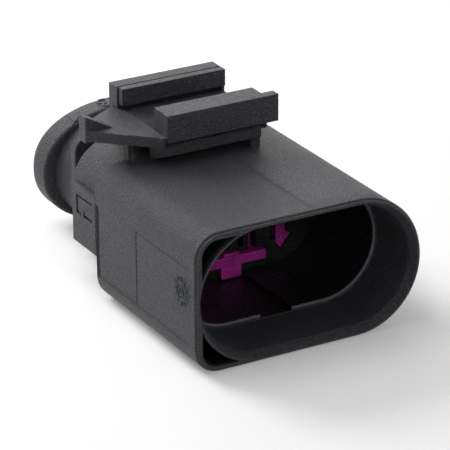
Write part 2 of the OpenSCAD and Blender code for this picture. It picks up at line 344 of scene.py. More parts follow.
def apply_modifiers(piece):
    """Replaces the piece's mesh by what its modifiers make of it."""
    graph = bpy.context.evaluated_depsgraph_get()
    mesh = bpy.data.meshes.new_from_object(piece.evaluated_get(graph))
    piece.modifiers.clear()
    old, piece.data = piece.data, mesh
    bpy.data.meshes.remove(old)


BEVEL_ANGLE, SHARP_ANGLE = math.radians(30), math.radians(32)
"""An edge is rounded from the first angle on, and shaded as sharp from the second on."""


def round_edges(piece, width):
    """Rounds the piece's sharp edges to a width in millimetres."""
    bevel = piece.modifiers.new("edge", "BEVEL")
    bevel.width = width / 1000
    bevel.segments = 3
    bevel.limit_method = "ANGLE"
    bevel.angle_limit = BEVEL_ANGLE
    bevel.use_clamp_overlap = True
    apply_modifiers(piece)
    return piece


def combine(base, others, operation):
    """Joins the other solids to the base, or cuts them out of it, and removes them."""
    group = bpy.data.collections.new("tools")
    bpy.context.scene.collection.children.link(group)
    for other in others:
        bpy.context.scene.collection.objects.unlink(other)
        group.objects.link(other)
    boolean = base.modifiers.new("solid", "BOOLEAN")
    boolean.operation = operation
    boolean.operand_type = "COLLECTION"
    boolean.collection = group
    boolean.solver = "EXACT"
    boolean.use_self = True
    apply_modifiers(base)
    for other in list(group.objects):
        mesh = other.data
        bpy.data.objects.remove(other)
        bpy.data.meshes.remove(mesh)
    bpy.data.collections.remove(group)
    return base


LARGE_FACE = 12e-6
"""Area in square metres from which a face is shaded with its own normal."""


def soften(piece):
    """Smooth shading with creases at sharp edges; a large face takes its own normal."""
    piece.data.shade_smooth()
    piece.data.set_sharp_from_angle(angle=SHARP_ANGLE)
    weigh = piece.modifiers.new("flat", "WEIGHTED_NORMAL")
    weigh.keep_sharp = True
    weigh.weight = 80
    apply_modifiers(piece)
    mesh = piece.data
    count = len(mesh.polygons)
    area, corners, own = np.empty(count), np.empty(count, dtype=np.int32), np.empty(count * 3)
    mesh.polygons.foreach_get("area", area)
    mesh.polygons.foreach_get("loop_total", corners)
    mesh.polygons.foreach_get("normal", own)
    normals = np.empty(len(mesh.loops) * 3)
    mesh.corner_normals.foreach_get("vector", normals)
    large = np.repeat(area > LARGE_FACE, corners)
    normals = normals.reshape(-1, 3)
    normals[large] = np.repeat(own.reshape(-1, 3), corners, axis=0)[large]
    mesh.normals_split_custom_set(normals.tolist())
    return piece


# ---------------------------------------------------------------- housing

def quarter(face_y, radius, towards, steps=4):
    """Pairs (y, inset) of a quarter round that ends in the face at face_y.

    towards is +1 where the body lies before the face and -1 where it lies behind it.
    """
    angle = np.linspace(0, np.pi / 2, steps + 1)
    return [(face_y - towards * radius * (1 - math.sin(a)), radius * (1 - math.cos(a))) for a in angle]


def tent(value, centre, half=0.15):
    """One at the centre, falling to nothing at half the width on either side."""
    return np.clip(1 - np.abs(value - centre) / half, 0, 1)


def panel_lines(rays, y, far, depth):
    """Distances with the lines of the side panel sunk into the flat side.

    The panel has a thin line along its lower edge, one over its front field and an upright
    one at its middle, and a wide upright line at its rear.
    """
    z = rays.dz * far
    low, high = -5.8, 4.45
    front, middle, rear = 2.1, 15.7, 26.45
    cut = 1.3 * tent(z, low, 0.2) * (front <= y <= rear)
    cut = np.maximum(cut, 0.6 * tent(z, high) * (front <= y <= middle))
    cut = np.maximum(cut, tent(y, middle) * ((z > low - 0.05) & (z < high + 0.05)))
    cut = np.maximum(cut, 3 * tent(y, rear, 0.42) * ((z > low - 0.1) & (z < 4)))
    return far - depth * cut * ((rays.dx < -0.5) & (rays.anchor < 0))


def shroud_stations(rays, s):
    """Outlines from the terminal block's face out to the mouth and back to the body's rear."""
    half_w, half_h = s.width / 2, s.height / 2

    def plug(grow):
        return reach(rays, rectangle(-half_w + s.wall - grow, half_w - s.wall + grow,
                                     -half_h + s.wall - grow, half_h - s.wall + grow,
                                     half_h - s.wall + grow))

    def nose(grow):
        return np.where(rays.key, plug(0), plug(grow - s.step))

    def outside(inset, y):
        shape = squared(-half_w + inset, half_w - inset, half_h - inset, s.corner - inset)
        if y > s.facet_y:
            shape = farthest(shape, lambda x, z: x - s.facet_x + inset)
        return reach(rays, shape)

    def body(inset):
        shape = squared(-half_w + s.rear_step + inset, half_w - inset, half_h - inset, s.rear_corner)
        bevel = lambda x, z: -0.649 * (x + half_w - s.rear_step) - 0.762 * (z + s.rear_bevel) + inset
        return reach(rays, farthest(shape, lambda x, z: x - s.facet_x + inset, bevel))

    bare = np.zeros(len(rays.anchor))
    lip = s.wall - s.rim
    stations = [(s.plug_depth, 0, bare), (s.plug_depth, 0, nose(0))]
    stations += [(s.step_depth + 0.2, 0, nose(0)), (s.step_depth + 0.1, 0, nose(0.03)),
                 (s.step_depth + 0.03, 0, nose(0.1)), (s.step_depth, 0, nose(0.2)),
                 (s.step_depth, 0, plug(-0.1)),
                 (s.step_depth - 0.1, 0, plug(0)), (s.lead_in + 0.15, 0, plug(0)),
                 (s.lead_in - 0.1, 0, plug(0.06)), (0.12, 0, plug(lip - 0.03)),
                 (0.03, 0, plug(lip + 0.03)), (0, 0, plug(lip + 0.12))]
    stations += [(y, 0, outside(inset, y)) for y, inset in
                 ((0, 0.34), (0.03, 0.27), (0.1, 0.24), (0.36, 0.24), (0.38, 0.2), (0.43, 0.08), (0.52, 0))]
    along = [1.65, 1.8, 1.95, 2.05, 2.2, 5, 10, 15.55, 15.7, 15.85, 18, 19.8, 20.2, 22, s.facet_y]
    after = [s.facet_y + 0.001, 25.3, 26.02, 26.2, 26.44, 26.46, 26.7, s.length - 0.12]
    seam = (rays.dz > 0.9) & (rays.anchor > 0.6)
    for y in along + after:
        far = panel_lines(rays, y, outside(0, y), s.groove)
        stations.append((y, 0, far + 0.12 * seam * (y < 20)))
    for y, inset in quarter(s.length, 0.12, 1)[1:]:
        stations.append((y, 0, np.maximum(outside(inset, y), body(0))))
    stations.append((s.length, 0, body(0)))
    stations += [(y, 0, body(inset)) for y, inset in quarter(s.body_end, 0.35, 1, 5)]
    return stations


def wire_end_stations(rays, s, w):
    """Outlines from the body's rear face over the flange and collar to the wire rings."""
    height = w.axis_height
    half = w.flange_width / 2
    tube = reach(rays, superellipse(w.tube_width / 2, w.tube_height / 2, 2.1))

    def flange(inset):
        plate = rectangle(-half + inset, half - inset, -8.8 + inset, 8.25 - inset, 2 - inset)
        bevel = lambda x, z: (np.abs(x) - z - half - 6 + inset * 1.41) / 1.41
        return reach(rays, farthest(plate, bevel), height=height)

    def collar(inset):
        return reach(rays, superellipse(w.collar_width / 2 - inset, w.collar_height / 2 - inset, 2.2))

    def rings(inset):
        cells = [rectangle(x - w.ring_radius, x + w.ring_radius, z - w.ring_radius, z + w.ring_radius,
                           w.ring_radius) for x in cavity_columns(w) for z in cavity_rows(w)]
        block = rectangle(-1.5 * w.pitch_x, 1.5 * w.pitch_x, -w.pitch_z / 2, w.pitch_z / 2)
        joined = nearest(block, *cells)
        return reach(rays, lambda x, z: joined(x, z) + inset)

    flange_end = w.flange_y + w.flange_t
    stations = [(s.body_end, height, tube), (w.flange_y, height, tube)]
    stations += [(y, height, flange(inset)) for y, inset in reversed(quarter(w.flange_y, 0.2, -1))]
    stations += [(y, height, flange(inset)) for y, inset in quarter(flange_end, 0.2, 1)]
    ridge = 0.05 * tent(rays.anchor, -0.6) * (rays.dz > 0.9)
    stations += [(flange_end, height, tube), (44.9, height, tube), (45.1, height, tube + ridge),
                 (w.collar_y - 0.3, height, tube + ridge), (w.collar_y, height, tube)]
    for y, inset in reversed(quarter(w.collar_y, 0.5, -1, 5)):
        stations.append((y, height, np.maximum(collar(inset), tube)))

    end_y = HOUSING[1][1]
    rim = reach(rays, superellipse(w.collar_width / 2 - 0.6, w.collar_height / 2 - 0.95, 2.4))
    start = end_y - 1.1
    for angle in np.linspace(0, np.pi / 2, 9):
        far = collar(0) + (rim - collar(0)) * (1 - math.cos(angle))
        stations.append((start + (end_y - start) * math.sin(angle), height, far))
    mouth = reach(rays, superellipse(w.mouth_width / 2, w.mouth_height / 2, 2.4))
    floor_y, ring_y = end_y - w.mouth_depth, end_y - w.ring_recess
    stations += [(end_y, height, mouth + 0.12), (end_y - 0.03, height, mouth + 0.03),
                 (end_y - 0.12, height, mouth), (floor_y, height, mouth - 0.25)]
    stations += [(floor_y, height, rings(0)), (ring_y - 0.12, height, rings(0)),
                 (ring_y - 0.03, height, rings(0.03)), (ring_y, height, rings(0.12)),
                 (ring_y, height, rings(0) * 0)]
    return stations


def cavity_columns(w):
    """Places of the four columns of cavities across the connector."""
    return [(i - 1.5) * w.pitch_x for i in range(4)]


def cavity_rows(w):
    """Heights of the two rows of cavities above the wire end's axis."""
    return [-w.pitch_z / 2, w.pitch_z / 2]


POCKET_SKIN, POCKET_WALL = 0.85, 1.0
"""Wall outside a corner pocket, and the round wall between it and the plug space."""


def corner_pocket(s, side):
    """Cutter for one corner pocket: the squared skin's inside less the round wall's outside."""
    skin = POCKET_SKIN
    half_w, half_h = s.width / 2, s.height / 2
    angle = np.linspace(np.pi / 2, np.pi, 241) * side
    fan = SimpleNamespace(anchor=np.full(len(angle), -HALF_SPAN), dx=np.cos(angle), dz=np.sin(angle))
    outer = reach(fan, squared(-half_w + skin, half_w - skin, half_h - skin, s.corner - skin - 0.4))
    inner = half_h - s.wall + POCKET_WALL
    open_part = outer > inner + 0.02
    points = [np.stack([fan.anchor + fan.dx * far, fan.dz * far], axis=-1)[open_part]
              for far in (outer, np.full(len(angle), inner))]
    outline = np.concatenate([points[0][::4], points[1][::-4]])
    return prism("pocket", outline, -1, s.pocket_depth, 1)


def cavity_cutters(s, w):
    """Cutters for each wire cavity, its contact chamber and its blade slot."""
    ring_y = HOUSING[1][1] - w.ring_recess
    back_y = ring_y - w.cavity_depth
    slot_y = s.plug_depth + 5.2
    cutters = []
    for x in cavity_columns(w):
        for row in cavity_rows(w):
            z = w.axis_height + row
            profile = [(0, back_y), (w.cavity_radius, back_y), (w.cavity_radius, ring_y - 0.12),
                       (w.cavity_radius + 0.12, ring_y + 0.005), (w.cavity_radius + 0.12, ring_y + 0.6),
                       (0, ring_y + 0.6)]
            cutters.append(turned("cavity", profile, (x, z)))
            cutters.append(box_piece("chamber", (x - 1.4, slot_y, z - 1.4), (x + 1.4, back_y + 0.3, z + 1.4)))
            cutters.append(box_piece("slot", (x - 0.4, s.plug_depth - 0.5, z - 0.95),
                                     (x + 0.4, slot_y + 0.3, z + 0.95)))
    return cutters


# ---------------------------------------------------------------- bracket

def mirrored(points):
    """The same points on the other side of the connector's middle plane."""
    return [(-x, z) for x, z in points][::-1]


def wing_height(b, x):
    """Height of the wing's upper face: it rises evenly from the plate to the tip."""
    return b.floor + b.wing_rise * np.clip((b.left - x) / (b.left - b.tip), 0, 1)


def bracket_plate(b):
    """The plate between the rails, and the pointed wing beside it that rises to its tip."""
    front = b.front + 0.2
    plate = box_piece("bracket_plate", (b.left, front, b.under), (b.right, 36, b.floor))
    outline = [(b.left + 0.7, front - 0.05), (b.tip + 0.04, b.tip_y), (b.tip + 0.04, b.tip_y + b.tip_width),
               (b.left, 35.9), (b.left + 0.7, 35.9)]
    wing = prism("wing", outline, b.under, b.floor, 2)
    reshape(wing, lambda points: points + np.stack(
        [0 * points[:, 0], 0 * points[:, 0], wing_height(b, points[:, 0]) - b.floor], axis=-1))
    return [round_edges(plate, 0.1), round_edges(wing, b.edge)]


def bracket_front_rail(b):
    """The front rail with its lip and end wall, the foot below it and the leg at the foot's right end."""
    left, right, wall, lip = b.left + 0.8, b.right + 1.6, b.front + 1.4, b.front + 3.8
    profile = [(b.front, b.floor - 0.75), (b.front, b.top), (lip, b.top), (lip, b.top - 0.9),
               (wall, b.top - 0.9), (wall, b.floor - 0.75)]
    rail = prism("front_rail", profile, left, right, 0)
    end_wall = box_piece("end_wall", (left + 0.12, wall - 0.2, b.floor - 0.7), (left + 0.7, lip - 0.05, b.top - 0.4))
    combine(rail, [end_wall], "UNION")
    short = box_piece("short", (right - 1.8, wall, b.floor), (right + 1, lip + 1, b.top + 1))
    step = box_piece("step", (left - 1, wall, b.floor - 1), (left + 0.12, lip + 1, b.top + 1))
    seam = box_piece("seam", (left - 1, wall, b.floor), (left + 0.35, wall + 0.22, b.top + 1))
    rail = round_edges(combine(rail, [short, step, seam], "DIFFERENCE"), b.edge)
    foot_y = b.front + 0.4
    profile = [(foot_y, b.under + 0.3), (foot_y, 10.75), (foot_y + 3.4, 9.3), (foot_y + 3.4, 8.6),
               (foot_y + 4.1, 8.6), (foot_y + 4.1, b.under + 0.3)]
    foot = round_edges(prism("foot", profile, b.left + 0.5, b.right - 0.7, 0), b.edge)
    leg = box_piece("leg", (b.right - 2.2, foot_y + 0.25, 8.6), (b.right - 0.75, foot_y + 3.9, b.under))
    prop = box_piece("prop", (-12.15, 25.75, 8.2), (-11.7, 26.7, b.under + 0.4))
    return [rail, foot, round_edges(leg, b.edge), round_edges(prop, 0.08)]


def bracket_rear_rail(b):
    """The rear rail with its lip, end wall and the slot in its back, and the heel below it."""
    right, back, wall, lip = b.right + 0.2, b.front + 15.1, b.front + 12.8, b.front + 11.6
    under_lip = b.top - 2.35
    profile = [(back, 12.6), (wall, 12.6), (wall, under_lip), (lip, under_lip), (lip, b.top), (back, b.top)]
    rail = prism("rear_rail", profile, b.left + 0.2, right, 0)
    end_wall = box_piece("end_wall", (right - 0.6, lip + 0.05, b.floor - 0.7), (right - 0.1, wall + 0.2, b.top - 0.4))
    combine(rail, [end_wall], "UNION")
    slot = box_piece("slot", (-1.3, back - 1.2, b.floor + 0.4), (b.right - 0.6, back + 1, b.top - 1.1))
    step = box_piece("step", (b.left - 1, lip - 1, b.floor), (b.left + 0.35, wall, b.top + 1))
    end_seam = box_piece("seam", (b.left - 1, wall - 0.2, b.floor), (b.left + 0.55, wall, b.top + 1))
    seam = box_piece("seam", (b.left - 1, wall, b.top - 0.12), (right + 1, wall + 0.25, b.top + 1))
    combine(rail, [slot, step, end_seam, seam], "DIFFERENCE")
    heel = box_piece("heel", (b.left + 0.3, 33.2, 8.6), (b.right - 0.1, 36.05, 12.8))
    return [round_edges(rail, b.edge), round_edges(heel, b.edge)]


def bracket_catch(b):
    """The one-way catch on the wing: a ramp that rises to the tip, hollow on its rear side."""
    run = b.tip + b.catch_length
    high, foot = wing_height(b, b.tip) + b.catch_height, wing_height(b, run)
    ramp = [(b.tip, b.under + 0.3), (b.tip + 0.8, b.under + 0.3), (run, foot - 0.5), (run, foot + 0.03),
            (b.tip + 0.3, high), (b.tip, high)]
    catch = round_edges(prism("catch", ramp, b.tip_y - 0.03, b.tip_y + b.tip_width + 0.03, 1), 0.12)
    hollow = [(b.tip + 0.6, foot + 0.4), (run - 1.4, foot + 0.3), (b.tip + 0.6, high - 0.6)]
    return combine(catch, [prism("hollow", hollow, b.tip_y + 0.9, b.tip_y + b.tip_width + 1, 1)], "DIFFERENCE")


def side_pad(s):
    """The raised pad on the flat side behind the shroud, with its sunk frame line and tab."""
    face = -s.width / 2 + s.rear_step
    pad = round_edges(box_piece("pad", (face - 0.42, 28.4, -3.95), (face + 1, 35.1, 4.4)), 0.14)
    deep = face - 0.1
    lines = [box_piece("line", (face - 1, 33.35, 0.4), (deep, 33.85, 3.1)),
             box_piece("line", (face - 1, 29.4, 0.4), (deep, 33.85, 0.8)),
             box_piece("line", (face - 1, 29.4, 2.85), (deep - 0.12, 33.85, 3.1))]
    combine(pad, lines, "DIFFERENCE")
    tab = round_edges(box_piece("tab", (face - 0.55, 31.6, 0.5), (face, 32.3, 1.2)), 0.1)
    return [pad, tab]


# ---------------------------------------------------------------- lock

LOCK_REACH = 4.3
"""How far the lock's bars lie above and below the wire end's axis."""
BLOCK_START = 0.7
"""How far in front of the terminal block's face its pockets begin."""


def lock_boxes(w):
    """Corners of the lock's boxes: key, bars, raised block, struts and fingers."""
    key_y = LOCK[0][1]
    back = LOCK[1][1] - 3.6
    bar_y = key_y + 0.3
    low, high = w.axis_height - LOCK_REACH, w.axis_height + LOCK_REACH
    post = 1.5 * w.pitch_x + 0.5
    boxes = [((-0.95, key_y, LOCK[0][2]), (2.15, back, low - 1.3)),
             ((-6.1, bar_y, low - 1.4), (6.1, back, low)),
             ((-0.35, bar_y, low - 0.1), (2.05, back, low + 0.5)),
             ((-post - 1.5, bar_y, high), (post + 1.5, back, high + 1.4))]
    for side in (-1, 1):
        x = side * (w.pitch_x - 0.65)
        boxes.append(((x - 0.45, key_y + 2.2, low - 0.1), (x + 0.45, back, high + 0.1)))
    for x in cavity_columns(w):
        if abs(x) < 6.1:
            boxes.append(((x - 0.8, back - 0.5, low - 0.7), (x + 0.8, LOCK[1][1], low)))
        boxes.append(((x - 0.8, back - 0.5, high), (x + 0.8, LOCK[1][1], high + 0.7)))
    return boxes, back


def post_outline(w, grow):
    """Outline of one side post, with its pointed foot and its barb."""
    inner, outer = 1.5 * w.pitch_x + 0.5 - grow, 1.5 * w.pitch_x + 2 + grow
    low, high = w.axis_height - LOCK_REACH, w.axis_height + LOCK_REACH
    return [(inner, high + 0.3), (inner, low - grow), ((inner + outer) / 2, low - 0.8 - grow),
            (outer, low + 0.2 - grow), (outer + 0.8, low + 1.1 - grow), (outer, low + 1.6 + grow),
            (outer, high + 0.3)]


def lock_cutters(s, w, lock):
    """The pocket that the lock slides in: its boxes grown by the clearance and the travel."""
    boxes, back = lock_boxes(w)
    reach_y = lock.travel + lock.gap
    cutters = []
    for start, end in boxes:
        cutters.append(box_piece("pocket", (start[0] - lock.gap, s.plug_depth - BLOCK_START, start[2] - lock.gap),
                                 (end[0] + lock.gap, end[1] + reach_y, end[2] + lock.gap)))
    outline = post_outline(w, lock.gap)
    for points in (outline, mirrored(outline)):
        cutters.append(prism("pocket", points, s.plug_depth - BLOCK_START, back + reach_y, 1))
    return cutters


# ---------------------------------------------------------------- fine marks

GLYPHS = {
    "1": [(0.12, 0.76), (0.36, 1), (0.36, 0.5), (0.36, 0)],
    "3": [(0.04, 0.9), (0.26, 1), (0.5, 0.88), (0.48, 0.66), (0.26, 0.54), (0.52, 0.44),
          (0.58, 0.2), (0.34, 0), (0.06, 0.06)],
    "5": [(0.56, 1), (0.14, 1), (0.08, 0.56), (0.34, 0.62), (0.58, 0.42), (0.54, 0.12),
          (0.3, 0), (0.04, 0.08)],
    "7": [(0.02, 0.98), (0.6, 0.98), (0.36, 0.5), (0.22, 0)],
}
"""Middle lines of the plain numerals, in a cell one unit high with its origin at the lower left."""


def ribbon(name, path, normals, half_width, height, closed=False):
    """A raised strip: a flat-topped profile carried along a path that lies on a surface.

    Point = path + side * half width * profile x + normal * height * profile z.
    """
    path, normals = np.asarray(path, float), np.asarray(normals, float)
    if closed:
        tangent = np.roll(path, -1, axis=0) - np.roll(path, 1, axis=0)
    else:
        tangent = np.gradient(path, axis=0)
    side = np.cross(tangent, normals)
    side /= np.linalg.norm(side, axis=1, keepdims=True)
    profile = np.array([(-1, -0.6), (-1, 0.5), (-0.7, 1), (0.7, 1), (1, 0.5), (1, -0.6)])
    points = (path[:, None] + side[:, None] * (half_width * profile[:, 0])[None, :, None]
              + normals[:, None] * (height * profile[:, 1])[None, :, None])
    rows, columns = len(path), len(profile)
    if closed:
        faces = grid_faces(rows, columns)
        last = np.arange(columns)
        faces += np.stack([(rows - 1) * columns + last, (rows - 1) * columns + (last + 1) % columns,
                           (last + 1) % columns, last], axis=-1).tolist()
    else:
        faces = grid_faces(rows, columns) + [list(range(columns)),
                                             list(range((rows - 1) * columns, rows * columns))]
    return make_object(name, points.reshape(-1, 3), faces)


def smooth_path(points, steps=5):
    """A polyline's points with short curves through them (Catmull-Rom)."""
    p = np.asarray(points, float)
    ends = np.concatenate([[2 * p[0] - p[1]], p, [2 * p[-1] - p[-2]]])
    t = np.linspace(0, 1, steps, endpoint=False)[:, None, None]
    a, b, c, d = (ends[i:len(ends) - 3 + i][None] for i in range(4))
    curve = 0.5 * (2 * b + (c - a) * t + (2 * a - 5 * b + 4 * c - d) * t ** 2 + (3 * b - a - 3 * c + d) * t ** 3)
    return np.concatenate([curve.transpose(1, 0, 2).reshape(-1, p.shape[1]), p[-1:]])


def cavity_numbers(w):
    """The odd cavity numbers 7, 5, 3 and 1, raised on top of the collar over their columns."""
    half_w, half_h, power = w.collar_width / 2, w.collar_height / 2, 2.2
    size, front, half_width, raised = 2.5, 49.95, 0.2, 0.14
    strips = []
    for glyph, column in zip("1357", cavity_columns(w)):
        curve = smooth_path(GLYPHS[glyph])
        x = column - (curve[:, 0] - 0.3) * size
        y = front + (1 - curve[:, 1]) * size
        height = half_h * (1 - np.abs(x / half_w) ** power) ** (1 / power)
        slope = -(half_h / half_w) ** power * np.abs(x) ** (power - 1) * np.sign(x) / height ** (power - 1)
        normal = np.stack([-slope, np.zeros(len(x)), np.ones(len(x))], axis=-1)
        normal /= np.linalg.norm(normal, axis=1, keepdims=True)
        path = np.stack([x, y, w.axis_height + height], axis=-1)
        strips.append(ribbon("number_" + glyph, path, normal, half_width, raised))
    return strips


def date_dial(s):
    """A plain dial on the flat side: a raised ring, ticks that stand round it and a pointer."""
    face, y, z = -s.width / 2, 3.8, 0.9
    half_width, raised, steps, ticks = 0.11, 0.12, 56, 12

    def strip(name, along_y, along_z, half, height, closed=False):
        path = np.stack([np.full(len(along_y), face), y + along_y, z + along_z], axis=-1)
        outwards = np.tile(np.array([-1.0, 0, 0]), (len(path), 1))
        return ribbon(name, path, outwards, half, height, closed=closed)

    angle = np.linspace(0, 2 * np.pi, steps, endpoint=False)
    strips = [strip("dial", r * np.cos(angle), r * np.sin(angle), half_width, raised, True) for r in (1.15, 0.55)]
    tick, pointer = np.array([1.45, 1.7, 1.95]), np.array([-0.4, 0, 0.4])
    for turn in (2 * np.pi * i / ticks for i in range(ticks)):
        strips.append(strip("tick", tick * math.cos(turn), tick * math.sin(turn), half_width, raised))
    strips.append(strip("pointer", pointer * 0.5, pointer * 0.87, 0.1, 0.13))
    return strips


def join(name, parts):
    """One object from several, which share its mesh without being cut by each other."""
    work = bmesh.new()
    for part in parts:
        work.from_mesh(part.data)
        mesh = part.data
        bpy.data.objects.remove(part)
        bpy.data.meshes.remove(mesh)
    mesh = bpy.data.meshes.new(name)
    work.to_mesh(mesh)
    work.free()
    piece = bpy.data.objects.new(name, mesh)
    bpy.context.scene.collection.objects.link(piece)
    return piece


# ---------------------------------------------------------------- materials

class Nodes:
    """Short calls for building a material's node tree."""

    def __init__(self, name):
        self.material = bpy.data.materials.new(name)
        self.material.use_nodes = True
        self.tree = self.material.node_tree
        self.shader = self.tree.nodes["Principled BSDF"]
        self.place = self.add("ShaderNodeTexCoord").outputs["Object"]

    def add(self, kind, **settings):
        """A node of a kind, with its properties and its unlinked inputs set."""
        node = self.tree.nodes.new(kind)
        for key, value in settings.items():
            if key in node.inputs:
                node.inputs[key].default_value = value
            else:
                setattr(node, key, value)
        return node

    def link(self, source, target):
        """Joins an output to an input."""
        self.tree.links.new(source, target)

    def noise(self, scale, detail=2.0, roughness=0.5):
        """Noise on the object's own coordinates; scale is in cycles a metre."""
        node = self.add("ShaderNodeTexNoise", Scale=scale, Detail=detail, Roughness=roughness)
        self.link(self.place, node.inputs["Vector"])
        return node.outputs["Fac"]

    def ramp(self, value, low, high, start=0.0, end=1.0):
        """A value carried from one range to another, held at the ends."""
        node = self.add("ShaderNodeMapRange")
        for key, number in zip(("From Min", "From Max", "To Min", "To Max"), (low, high, start, end)):
            node.inputs[key].default_value = number
        self.link(value, node.inputs["Value"])
        return node.outputs["Result"]

    def calculate(self, operation, first, second=None):
        """A sum on outputs or numbers."""
        node = self.add("ShaderNodeMath", operation=operation)
        for socket, value in zip(node.inputs, (first, second)):
            if isinstance(value, bpy.types.NodeSocket):
                self.link(value, socket)
            elif value is not None:
                socket.default_value = value
        return node.outputs["Value"]

    def mix(self, factor, first, second):
        """A blend of two colours, each a colour or an output."""
        node = self.add("ShaderNodeMix", data_type="RGBA")
        self.link(factor, node.inputs["Factor"])
        for socket, value in zip((node.inputs[6], node.inputs[7]), (first, second)):
            if isinstance(value, bpy.types.NodeSocket):
                self.link(value, socket)
            else:
                socket.default_value = (*value, 1)
        return node.outputs[2]

    def bump(self, heights):
        """Bump from several (height output, depth in metres) pairs, one over another."""
        normal = None
        for height, depth in heights:
            node = self.add("ShaderNodeBump", Distance=depth, Strength=1.0)
            self.link(height, node.inputs["Height"])
            if normal:
                self.link(normal, node.inputs["Normal"])
            normal = node.outputs["Normal"]
        self.link(normal, self.shader.inputs["Normal"])


BLOCK_BACK = 28.0
# From the mouth to the depth in the terminal block at which the smoother finish and the painted shade end.
"""From the mouth to the depth in the terminal block at which the polished finish ends."""


def inside_mask(n, s):
    """Where the moulding cores are polished and painted shade darkens them, and where the step's edge gets a painted
    highlight.

    The first value is one deep in the plug space and in the corner pockets, else nought. The
    distance from the oval's middle line is compared with the plug space's half height, and the
    depth with that of the step and the terminal block. A pocket lies outside the round wall
    and within the squared skin, whose corner is a distance from the corner's centre.
    The second value is one along the step's edge, where a pale painted highlight goes.
    """
    def rise(value, low, high):
        return n.ramp(value, low / 1000, high / 1000)

    def fall(value, low, high):
        return n.ramp(value, low / 1000, high / 1000, 1, 0)

    def all_of(*parts):
        whole = parts[0]
        for part in parts[1:]:
            whole = n.calculate("MULTIPLY", whole, part)
        return whole

    def past(value, limit):
        return n.calculate("MAXIMUM", n.calculate("SUBTRACT", value, limit / 1000), 0.0)

    def away(first, second):
        return n.calculate("SQRT", n.calculate("ADD", n.calculate("MULTIPLY", first, first),
                                               n.calculate("MULTIPLY", second, second)))

    split = n.add("ShaderNodeSeparateXYZ")
    n.link(n.place, split.inputs["Vector"])
    x, y, z = (split.outputs[axis] for axis in "XYZ")
    half_w, half_h = s.width / 2, s.height / 2
    edge = half_h - s.wall
    far = away(past(n.calculate("ABSOLUTE", x), HALF_SPAN), z)
    plug = all_of(fall(far, edge + 0.02, edge + 0.18), rise(y, s.step_depth + 0.05, s.step_depth + 0.4),
                  fall(y, BLOCK_BACK, BLOCK_BACK + 0.2))
    corner = away(past(n.calculate("MULTIPLY", x, -1.0), half_w - s.corner),
                  past(n.calculate("ABSOLUTE", z), half_h - s.corner))
    pocket = all_of(fall(corner, s.corner - 0.82, s.corner - 0.74), rise(far, edge + 0.94, edge + 0.98),
                    rise(y, 0.3, 1.2), fall(y, s.pocket_depth + 0.5, s.pocket_depth + 0.7),
                    fall(x, -7.2, -7.0))
    # painted highlight: a band along the step's edge, painted pale
    painted_highlight = all_of(rise(y, s.step_depth - 0.15, s.step_depth - 0.05),
                    fall(y, s.step_depth + 0.12, s.step_depth + 0.2), fall(far, edge - 0.36, edge - 0.22))
    return n.calculate("MAXIMUM", plug, pocket), painted_highlight


def housing_material(f, s):
    """Black glass-filled nylon: a fine eroded grain, pale fibre flecks and faint flow shades.

    The plug space and the pockets are smoother, as their cores are polished, and are darkened with painted shade; the
    step's edge gets a pale painted highlight.
    """
    n = Nodes("housing_plastic")
    inside, painted_highlight = inside_mask(n, s)
    grain = n.noise(3900, 2, 0.6)
    fine = n.noise(8000, 1, 0.5)
    flow = n.noise(160, 3, 0.5)
    fleck = n.ramp(n.noise(5600, 1, 0.6), 0.56, 0.74)
    deep = tuple(0.78 * v for v in f.housing)
    base = n.mix(n.ramp(flow, 0.3, 0.7), deep, tuple(f.housing))
    grained = n.mix(fleck, base, tuple(f.fleck))
    # painted shade: the plug space and the pockets take 0.3 of the housing colour, darker than the plastic really is
    painted_shade = n.mix(inside, grained, tuple(0.3 * v for v in f.housing))
    # painted highlight: the step's edge takes 1.5 times the fleck colour
    n.link(n.mix(painted_highlight, painted_shade, tuple(1.5 * v for v in f.fleck)), n.shader.inputs["Base Color"])
    rough = n.ramp(grain, 0.3, 0.7, 0.36, 0.54)
    n.link(n.calculate("SUBTRACT", rough, n.calculate("MULTIPLY", inside, 0.2)), n.shader.inputs["Roughness"])
    n.shader.inputs["Specular IOR Level"].default_value = 0.3
    rest = n.ramp(inside, 0, 1, 1, 0.25)
    n.bump([(n.calculate("MULTIPLY", grain, rest), 0.0003), (n.calculate("MULTIPLY", fine, rest), 0.00012)])
    return n.material


def lock_material(f):
    """Purple plastic: satin, with a slight cloudiness in the colour."""
    n = Nodes("lock_plastic")
    cloud = n.noise(420, 3, 0.5)
    grain = n.noise(5200, 2, 0.5)
    light = tuple(min(1.0, 1.25 * v + 0.01) for v in f.lock)
    n.link(n.mix(n.ramp(cloud, 0.35, 0.65), tuple(f.lock), light), n.shader.inputs["Base Color"])
    n.link(n.ramp(grain, 0.3, 0.7, 0.22, 0.34), n.shader.inputs["Roughness"])
    n.bump([(grain, 0.00002)])
    return n.material


def ground_material(f):
    """Matt pale ground that reads as white to the camera where nothing shades it."""
    n = Nodes("ground")
    n.link(n.mix(n.noise(60, 2, 0.5), tuple(f.ground), tuple(0.99 * v for v in f.ground)),
           n.shader.inputs["Base Color"])
    n.shader.inputs["Roughness"].default_value = 0.9
    n.shader.inputs["Specular IOR Level"].default_value = 0.1
    n.shader.inputs["Emission Color"].default_value = (1, 1, 1, 1)
    glow = n.add("ShaderNodeMath", operation="MULTIPLY")
    n.link(seen_rays(n.tree), glow.inputs[0])
    glow.inputs[1].default_value = 0.2
    n.link(glow.outputs["Value"], n.shader.inputs["Emission Strength"])
    return n.material


def finish_piece(piece, material, body):
    """Gives a piece its material and the body it rides on."""
    piece.data.materials.clear()
    piece.data.materials.append(material)
    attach(piece, body)
    return piece


# ---------------------------------------------------------------- operators

def groups(context):
    """The sizes of the scene's property groups in millimetres."""
    scene = context.scene
    return SimpleNamespace(
        shroud=millimetres(scene.connector_shroud), wire=millimetres(scene.connector_wire_end),
        bracket=millimetres(scene.connector_bracket), lock=millimetres(scene.connector_lock),
        finish=scene.connector_finish)


